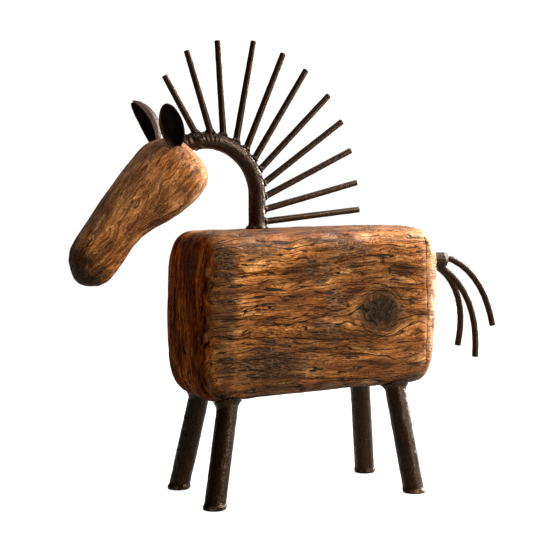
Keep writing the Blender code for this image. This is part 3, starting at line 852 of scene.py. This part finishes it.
# Iron pieces. For each kind of bar: depth of the hammer dents, their size and the depth of pitting.
HAMMERED = {
    "neck": (0.26, 3.2, 0.045),
    "mane": (0.08, 1.9, 0.018),
    "ear": (0.10, 2.6, 0.012),
    "stub": (0.22, 2.4, 0.05),
    "tail": (0.06, 2.2, 0.015),
    "leg": (0.22, 3.2, 0.045),
}
DENT_LENGTH = 1.4
PIT_SIZE = 0.9


def along_line(points, start, end):
    """Grain for a straight bar: distance along it, then the two others."""
    start, end = np.array(start, float), np.array(end, float)
    forward = (end - start) / np.linalg.norm(end - start)
    side = np.cross(forward, ALONG_Y)
    side /= np.linalg.norm(side)
    offset = points - start
    return columns(offset @ forward, offset @ side, offset @ np.cross(forward, side))


def sharpness(piece, normals):
    """How fast the surface turns at every point, high on a thin rim and near nought on a face."""
    pairs = np.empty(len(piece.data.edges) * 2, np.int32)
    piece.data.edges.foreach_get("vertices", pairs)
    first, second = pairs.reshape(-1, 2).T
    turned = 1 - (normals[first] * normals[second]).sum(1)
    count = len(normals)
    total = np.bincount(first, turned, count) + np.bincount(second, turned, count)
    return total / (np.bincount(first, minlength=count) + np.bincount(second, minlength=count))


def forge(piece, grain, seed, kind, rubbed=None):
    """Hammer dents and pitting on a bar, and how far each point is made paler, by wear or as painted
    highlight.
    """
    dents, size, pitting = HAMMERED[kind]
    points, normals = surface(piece)
    relief = -dents * np.abs(noise(grain, (size * DENT_LENGTH, size, size), seed))
    relief += dents * 0.35 + pitting * rough(points, PIT_SIZE, seed + 1)
    carve(piece, points, normals, relief)
    store(piece, rubbed=np.zeros(len(points)) if rubbed is None else rubbed, grain=grain)


def bead_ring(centre, one, other, radius, count, start, shift, size):
    """Weld beads in a ring. Shift and size give each bead's own shift and half sizes by its number."""
    beads = []
    for k in range(count):
        spin = FULL_TURN * k / count + start
        spot = centre + shift(k) + radius * (math.cos(spin) * one + math.sin(spin) * other)
        beads.append((spot, size(k), NO_TURN))
    return beads


# Neck: a bar upright from the back, then bent forward. Runs are measured along it from the back.
NECK_X = -23.9
NECK_TOP = 152.3
NECK_RADIUS = 4.85
NECK_UPRIGHT = 19.0
BEND_CENTRE = np.array([-54.9, 0.0, 171.3])
BEND_RADIUS = 31.0
BEND_END = NECK_UPRIGHT + BEND_RADIUS * math.radians(100.0)
RING_SIZES = (5.5, 5.5, 1.3)
RIDGE_PITCH = 2.5
RIDGE_HEIGHT = 0.24


def neck_place(run):
    """Centre and heading of the neck bar by its run from the back."""
    if run <= NECK_UPRIGHT:
        return np.array([NECK_X, 0.0, NECK_TOP + run]), ALONG_Z
    turn = (run - NECK_UPRIGHT) / BEND_RADIUS
    heading = np.array([-math.sin(turn), 0.0, math.cos(turn)])
    return BEND_CENTRE + BEND_RADIUS * np.array([math.cos(turn), 0.0, math.sin(turn)]), heading


def neck_welds():
    """A ring of weld metal with beads where the neck meets the head, and beads round its foot."""
    last, heading = neck_place(BEND_END)
    lean = Matrix.Rotation(-math.atan2(-heading[0], heading[2]), 3, "Y")
    ring = [(last + heading * 0.9, RING_SIZES, lean)]
    by_head = bead_ring(
        last, np.cross(heading, ALONG_Y), ALONG_Y, 4.3, 6, 0.4,
        lambda k: heading * (0.2 + 1.0 * math.sin(k * 2.3)),
        lambda k: (1.7 + 0.4 * math.sin(k * 1.9),) * 3,
    )
    at_foot = bead_ring(
        np.array([NECK_X, 0.0, NECK_TOP + 0.7]), ALONG_X, ALONG_Y, 5.0, 7, 0.3,
        lambda k: 0.0,
        lambda k: (1.7, 1.7, 1.1 + 0.3 * math.sin(k * 2.1)),
    )
    return ring + by_head + at_foot


def make_neck(material):
    """The neck bar: hammer marks, ridged weld metal by the head and a fillet at its foot."""
    piece = even_copy("neck_forged", "neck", "neck", neck_welds())
    points, normals = surface(piece)
    offset = points - BEND_CENTRE
    turn = np.arctan2(offset[:, 2], offset[:, 0])
    upright = offset[:, 2] < 0
    run = np.where(upright, points[:, 2] - NECK_TOP, NECK_UPRIGHT + BEND_RADIUS * turn)
    outward = np.where(upright, points[:, 0] - NECK_X, np.hypot(offset[:, 0], offset[:, 2]) - BEND_RADIUS)
    marks = step(run, BEND_END - 17.0, BEND_END - 9.0) * step(outward, -1.5, 2.0)
    ridged = np.sin(run * FULL_TURN / RIDGE_PITCH + 2.2 * noise(points, 3.0, 71))
    carve(piece, points, normals, RIDGE_HEIGHT * marks * ridged)
    forge(piece, columns(run, outward, points[:, 1]), 72, "neck")
    dress(piece, material, "neck")


# Mane rods, from the one nearest the back: place as a share of the neck's run, and angle above level.
MANE = (
    (0.058, 6.0),
    (0.153, 14.6),
    (0.252, 26.1),
    (0.343, 36.0),
    (0.438, 44.9),
    (0.520, 57.8),
    (0.609, 67.2),
    (0.699, 79.1),
    (0.799, 93.6),
    (0.892, 107.2),
    (1.000, 119.7),
)
MANE_WELD = (1.2, 2.5, 2.5)
MANE_SEED = 100


def make_mane(material):
    """Eleven rods, each with a weld bead where it meets the neck."""
    for k, (share, angle) in enumerate(MANE):
        centre, heading = neck_place(BEND_END * share)
        outward = np.array([heading[2], 0.0, -heading[0]])
        root = centre + outward * NECK_RADIUS
        rise = math.radians(angle)
        direction = np.array([math.cos(rise), 0.0, math.sin(rise)])
        welds = [(root + direction * 0.1, MANE_WELD, Matrix.Rotation(-rise, 3, "Y"))]
        welds += bead_ring(
            root, np.cross(outward, ALONG_Y), ALONG_Y, 2.3, 5, k,
            lambda m: outward * -0.2,
            lambda m: (0.80 + 0.25 * math.sin(m * 2.7 + k * 1.3),) * 3,
        )
        name = "mane_rod_%02d" % (len(MANE) - k)
        piece = even_copy(name + "_forged", name, "rod", welds)
        grain = along_line(surface(piece)[0], root, root + direction)
        forge(piece, grain, MANE_SEED + k, "mane")
        dress(piece, material, name)


# Each ear: its seed, which way its hollow faces, and how far its rim and its outside are made paler, as
# painted highlight on the rim and painted light on the outside.
EAR_LOOKS = (
    ("ear_near", 81, (-0.387, -0.920, 0.0), 0.06, 0.02),
    ("ear_far", 85, (-0.999, 0.035, 0.0), 1.0, 0.10),
)
EAR_RISE = (-0.37, -0.37, 0.85)


def make_ears(material):
    """Two cupped leaves beaten thin, with lightly dented faces."""
    for name, seed, opening, rim_highlight, outside_light in EAR_LOOKS:
        piece = even_copy(name + "_forged", name, "ear")
        points, normals = surface(piece)
        # Painted highlight on the rim and painted light on the outside.
        rim = step(sharpness(piece, normals), 0.008, 0.035)
        outside = step(normals @ opening, 0.1, -0.3) * (1 - rim)
        rubbed = np.clip(rim_highlight * rim + outside_light * outside, 0, 1)
        forge(piece, along_line(points, POLL, POLL + EAR_RISE), seed, "ear", rubbed)
        dress(piece, material, name)


# Tail: the stub's end, and where each rod's root lies from it.
STUB_END = np.array([95.8, 0.0, 131.5])
STUB_SEED = 90
TAIL_ROOTS = (
    ("tail_rod_top", (2.6, 0.0, 2.2)),
    ("tail_rod_near", (-0.6, -2.7, -4.4)),
    ("tail_rod_far", (0.0, 2.7, -4.4)),
)
TAIL_WELD = (2.1, 2.4, 2.3)
TAIL_SEED = 93


def make_tail(material):
    """The stub with its weld metal, and three bent rods."""
    welds = [(STUB_END + (0.6, 0.0, 0.4), (3.0, 4.7, 4.7), NO_TURN)]
    welds += bead_ring(
        STUB_END, ALONG_Y, ALONG_Z, 3.4, 5, 0.5,
        lambda k: ALONG_X * (-0.4 + 0.9 * math.sin(k * 1.7)),
        lambda k: (2.4, 2.0, 2.0),
    )
    stub = even_copy("tail_stub_forged", "tail_stub", "stub", welds)
    forge(stub, along_line(surface(stub)[0], STUB_END, STUB_END + ALONG_X), STUB_SEED, "stub")
    dress(stub, material, "tail_stub")
    for k, (name, root) in enumerate(TAIL_ROOTS):
        rod = even_copy(name + "_forged", name, "rod", [(STUB_END + root, TAIL_WELD, NO_TURN)])
        forge(rod, surface(rod)[0][:, [2, 0, 1]], TAIL_SEED + k, "tail")
        dress(rod, material, name)


# Legs. The soles stay flat on the floor.
LEGS = ("leg_front_near", "leg_front_far", "leg_rear_near", "leg_rear_far")
SOLE_BAND = 1.0
TOP_BAND = 3.0
STREAK_SEED, RIM_SEED, DENT_SEED, PIT_SEED, RUBBED_SEED = 120, 130, 140, 150, 160


def make_legs(material):
    """Four leg bars, dented and streaked along their length, with a ragged rim to each foot."""
    for k, name in enumerate(LEGS):
        piece = even_copy(name + "_forged", name, "leg")
        points, normals = surface(piece)
        height = points[:, 2]
        foot = points[height < SOLE_BAND].mean(0)
        top = points[height > height.max() - TOP_BAND].mean(0)
        grain = along_line(points, foot, top)
        above = step(height, 0.2, 0.9)
        relief = 0.10 * noise(grain, (26, 2.2, 2.2), STREAK_SEED + k) * above
        rim = step(height, 4.5, 1.5) * above
        relief += rim * (0.30 * noise(points, 2.6, RIM_SEED + k) - 0.05)
        carve(piece, points, normals, relief)
        points, normals = surface(piece)
        depth, size, pitting = HAMMERED["leg"]
        dents = -depth * np.abs(noise(grain, (5.0, size, size), DENT_SEED + k)) + 0.07
        dents = dents + pitting * rough(points, 1.0, PIT_SEED + k)
        carve(piece, points, normals, dents * above)
        points = surface(piece)[0]
        points[:, 2] = np.maximum(points[:, 2], 0.0)
        place_points(piece, points)
        rubbed = 0.30 * step(points[:, 2], 3.5, 0.8) * step(noise(points, 1.8, RUBBED_SEED + k), -0.2, 0.4)
        store(piece, grain=grain, rubbed=rubbed)
        dress(piece, material, name)


make_body()
make_head()

# Each iron: its tones in the hollows and on the high spots, roughness, depth of pits and specular level.
bar_iron = iron_material("forged_bar_iron", tone(7, 3, 1), tone(44, 26, 13), 0.26, 0.34, 0.38)
rod_iron = iron_material("forged_rod_iron", tone(9, 4, 2), tone(56, 36, 22), 0.27, 0.20, 0.34)
tail_iron = iron_material("forged_tail_iron", tone(9, 4, 2), tone(50, 32, 20), 0.50, 0.20, 0.20)
ear_iron = iron_material("forged_ear_iron", tone(6, 3, 2), tone(30, 17, 10), 0.56, 0.05, 0.16)

make_neck(bar_iron)
make_mane(rod_iron)
make_ears(ear_iron)
make_tail(tail_iron)
make_legs(bar_iron)


# Studio. The camera was fitted to the photograph: its place in metres, how far it is turned from
# straight on and tipped down, and its focal length and frame in pixels.
CAMERA_PLACE = (-0.345, -0.791, 0.183)
CAMERA_TURN = math.radians(22.8)
CAMERA_TIP = math.radians(3.84)
FOCAL_PIXELS = 1500.0
FRAME_PIXELS = 551.0
SENSOR = 36.0
CLIP = (0.01, 60.0)

# Soft boxes: name, place, target, width, height, power in watts and colour.
MIDDLE = (0.0, 0.0, 0.12)
LOW_MIDDLE = (0.0, 0.0, 0.08)
SOFT_BOXES = (
    ("key", (0.72, -0.85, 0.80), MIDDLE, 0.40, 0.40, 15.5, (1.0, 0.92, 0.82)),
    ("rim", (0.95, 0.25, 0.50), MIDDLE, 0.30, 0.80, 44.0, (1.0, 0.95, 0.90)),
    ("low", (0.70, -0.80, 0.14), LOW_MIDDLE, 0.08, 0.50, 4.0, (1.0, 0.94, 0.86)),
    ("top", (0.25, 0.30, 1.15), MIDDLE, 0.60, 0.60, 5.0, (1.0, 0.97, 0.92)),
)

# Floor and surround: seen white by the camera, but darker as light on the horse, and brighter behind.
WHITE = (1.0, 1.0, 1.0, 1.0)
FLOOR_HALF = 14.0
FLOOR_CELLS = 8
FLOOR_COLOUR = (0.22, 0.22, 0.22, 1.0)
FLOOR_GLOW = 0.96
WORLD_GLOW = 1.2
WORLD_LEAN = (0.80, 0.20, 0.56)


def place_camera():
    """The photograph's view: a long lens a little above the back, turned towards the near side."""
    level = math.cos(CAMERA_TIP)
    forward = Vector((math.sin(CAMERA_TURN) * level, math.cos(CAMERA_TURN) * level, -math.sin(CAMERA_TIP)))
    right = Vector((math.cos(CAMERA_TURN), -math.sin(CAMERA_TURN), 0.0))
    up = right.cross(forward)
    data = bpy.data.cameras.new("photo_camera")
    data.sensor_width = SENSOR
    data.lens = FOCAL_PIXELS * SENSOR / FRAME_PIXELS
    data.clip_start, data.clip_end = CLIP
    camera = bpy.data.objects.new("photo_camera", data)
    bpy.context.scene.collection.objects.link(camera)
    aim = Matrix((right, up, -forward)).transposed().to_4x4()
    camera.matrix_world = Matrix.Translation(CAMERA_PLACE) @ aim
    bpy.context.scene.camera = camera


def soft_light(name, place, target, width, height, power, colour):
    """One soft box, facing a target."""
    data = bpy.data.lights.new(name, "AREA")
    data.shape = "RECTANGLE"
    data.size = width
    data.size_y = height
    data.energy = power
    data.color = colour
    light = bpy.data.objects.new(name, data)
    bpy.context.scene.collection.objects.link(light)
    light.location = place
    light.rotation_euler = (Vector(target) - Vector(place)).to_track_quat("-Z", "Y").to_euler()


def make_floor():
    """A wide floor that the camera sees as white."""
    work = bmesh.new()
    bmesh.ops.create_grid(work, x_segments=FLOOR_CELLS, y_segments=FLOOR_CELLS, size=FLOOR_HALF)
    mesh = bpy.data.meshes.new("studio_floor")
    work.to_mesh(mesh)
    work.free()
    floor = bpy.data.objects.new("studio_floor", mesh)
    bpy.context.scene.collection.objects.link(floor)
    material, tree, shader = start_material("pale_floor", 0.9, 0.0)
    shader.inputs["Base Color"].default_value = FLOOR_COLOUR
    shader.inputs["Emission Color"].default_value = WHITE
    seen = add(tree, "ShaderNodeLightPath", {}, {}).outputs["Is Camera Ray"]
    tree.links.new(times(tree, seen, FLOOR_GLOW), shader.inputs["Emission Strength"])
    mesh.materials.append(material)


def make_world():
    """A surround that the camera sees as white, and that lights the horse from the right and above."""
    world = bpy.data.worlds.new("studio")
    bpy.context.scene.world = world
    world.use_nodes = True
    tree = world.node_tree
    direction = add(tree, "ShaderNodeTexCoord", {}, {}).outputs["Generated"]
    lean = add(tree, "ShaderNodeVectorMath", {"operation": "DOT_PRODUCT"}, {0: direction, 1: WORLD_LEAN})
    strength = between(tree, lean.outputs["Value"], -0.10, 0.95, 0.02, 0.80)
    seen = add(tree, "ShaderNodeLightPath", {}, {}).outputs["Is Camera Ray"]
    strength = maths(tree, "MAXIMUM", strength, times(tree, seen, WORLD_GLOW))
    back = tree.nodes["Background"]
    back.inputs["Color"].default_value = WHITE
    tree.links.new(strength, back.inputs["Strength"])


place_camera()
make_floor()
make_world()
for box in SOFT_BOXES:
    soft_light(*box)
bpy.context.scene.view_settings.view_transform = "Standard"
bpy.context.scene.view_settings.look = "None"
